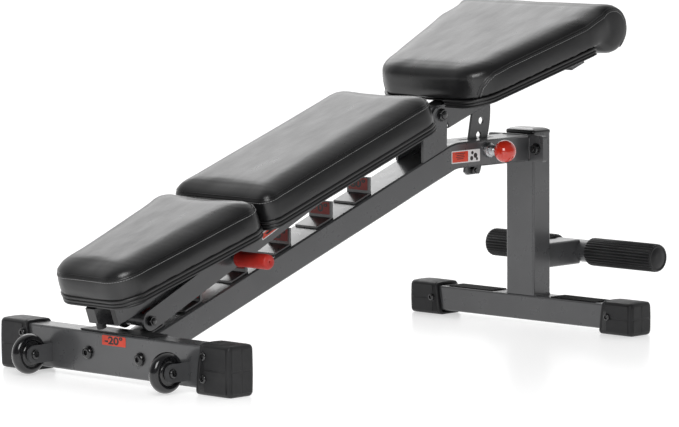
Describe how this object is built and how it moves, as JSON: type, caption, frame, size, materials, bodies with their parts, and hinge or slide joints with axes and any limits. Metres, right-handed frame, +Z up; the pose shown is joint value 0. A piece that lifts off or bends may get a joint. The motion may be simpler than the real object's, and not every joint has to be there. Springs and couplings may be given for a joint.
{
  "type": "decline sit up bench",
  "caption": "Adjustable decline and sit-up bench: sloping main tube on two cross feet, hinged padded backrest over a stepped ladder, hinged flared seat, foot rollers and transport wheels.",
  "frame": {"origin": "on the floor under the middle of the whole bench's box", "axes": "+Z up, +X from the low head end towards the seat, +Y to the left of someone who lies on it looking up and forward"},
  "size_m": [1.4045, 0.634, 0.6586],
  "materials": {
    "frame_coat": "semi-gloss gunmetal grey powder coat",
    "black_fastener": "gloss black oxide",
    "zinc": "bright zinc plated",
    "black_rubber": "matte moulded",
    "black_plastic": "gloss moulded",
    "vinyl": "smooth black vinyl",
    "board": "covered in black vinyl",
    "red_plastic": "gloss",
    "red_rubber": "satin grip"
  },
  "bodies": {
    "frame": {"front_beam": "frame_coat", "beam_rest_pad": "black_rubber", "main_tube": "frame_coat", "rear_post": "frame_coat", "post_cap": "black_plastic", "rear_foot": "frame_coat", "tube_flange": "frame_coat", "post_flange": "frame_coat", "hinge_bolt": "black_fastener", "pin_barrel": "zinc", "pin_spring": "zinc", "foot_bracket": "frame_coat", "roller_axle": "frame_coat", "foot_strip_left": "black_rubber", "foot_strip_right": "black_rubber", "ladder_step_1": "frame_coat", "ladder_step_2": "frame_coat", "ladder_step_3": "frame_coat", "ladder_step_4": "frame_coat", "ladder_step_5": "frame_coat", "ladder_step_6": "frame_coat", "beam_bolt_left": "black_fastener", "beam_bolt_right": "black_fastener", "front_boot_left": "black_rubber", "front_boot_right": "black_rubber", "wheel_fork_left": "frame_coat", "wheel_fork_right": "frame_coat", "wheel_axle_left": "black_fastener", "wheel_axle_right": "black_fastener", "rear_boot_left": "black_rubber", "rear_boot_right": "black_rubber", "flange_bolt_left": "black_fastener", "flange_bolt_right": "black_fastener", "hinge_plate_left": "frame_coat", "hinge_plate_right": "frame_coat"},
    "backrest": {"backrest_tube": "frame_coat", "backrest_plug": "black_plastic", "backrest_bumper": "black_rubber", "back_board": "board", "head_board": "board", "back_pad": "vinyl", "head_pad": "vinyl", "strut_pivot_bolt": "black_fastener"},
    "strut": {"strut_frame": "frame_coat", "strut_foot_bolt": "black_fastener", "strut_grip_left": "red_rubber", "strut_grip_right": "red_rubber"},
    "seat": {"seat_frame": "frame_coat", "seat_plug": "black_plastic", "seat_arc_plate": "frame_coat", "seat_stop_bolt": "black_fastener", "seat_board": "board", "seat_pad": "vinyl"},
    "pull_pin": {"pull_pin": "zinc", "pin_knob": "red_plastic"},
    "wheel_left": {"wheel_left": "black_plastic"},
    "wheel_right": {"wheel_right": "black_plastic"},
    "foot_roller_left": {"foot_roller_left": "black_rubber"},
    "foot_roller_right": {"foot_roller_right": "black_rubber"}
  },
  "joints": [
    {"name": "backrest_hinge", "type": "hinge", "parent": "frame", "child": "backrest", "pos_m": [0.2338, 0, 0.449], "axis": [0, 1, 0], "range_deg": [0, 79.5]},
    {"name": "strut_hinge", "type": "hinge", "parent": "backrest", "child": "strut", "pos_m": [-0.11419, 0, 0.31728], "axis": [0, 1, 0], "range_deg": [-129, 0]},
    {"name": "seat_hinge", "type": "hinge", "parent": "frame", "child": "seat", "pos_m": [0.2338, 0, 0.449], "axis": [0, 1, 0], "range_deg": [0, 21]},
    {"name": "pin_pull", "type": "slide", "parent": "frame", "child": "pull_pin", "axis": [0, -1, 0], "range_m": [0, 0.014], "stiffness_N_per_m": 1500, "springref_m": -0.004},
    {"name": "wheel_left_axle", "type": "hinge", "parent": "frame", "child": "wheel_left", "pos_m": [-0.6638, 0.19, 0.041], "axis": [0, 1, 0], "continuous": true},
    {"name": "wheel_right_axle", "type": "hinge", "parent": "frame", "child": "wheel_right", "pos_m": [-0.6638, -0.19, 0.041], "axis": [0, 1, 0], "continuous": true},
    {"name": "foot_roller_left_spin", "type": "hinge", "parent": "frame", "child": "foot_roller_left", "pos_m": [0.6732, 0.139, 0.1385], "axis": [0, 1, 0], "continuous": true},
    {"name": "foot_roller_right_spin", "type": "hinge", "parent": "frame", "child": "foot_roller_right", "pos_m": [0.6732, -0.139, 0.1385], "axis": [0, 1, 0], "continuous": true}
  ],
  "couplings": [
    {"joint": "strut_hinge", "follows": "backrest_hinge", "ratio": -1.62}
  ]
}
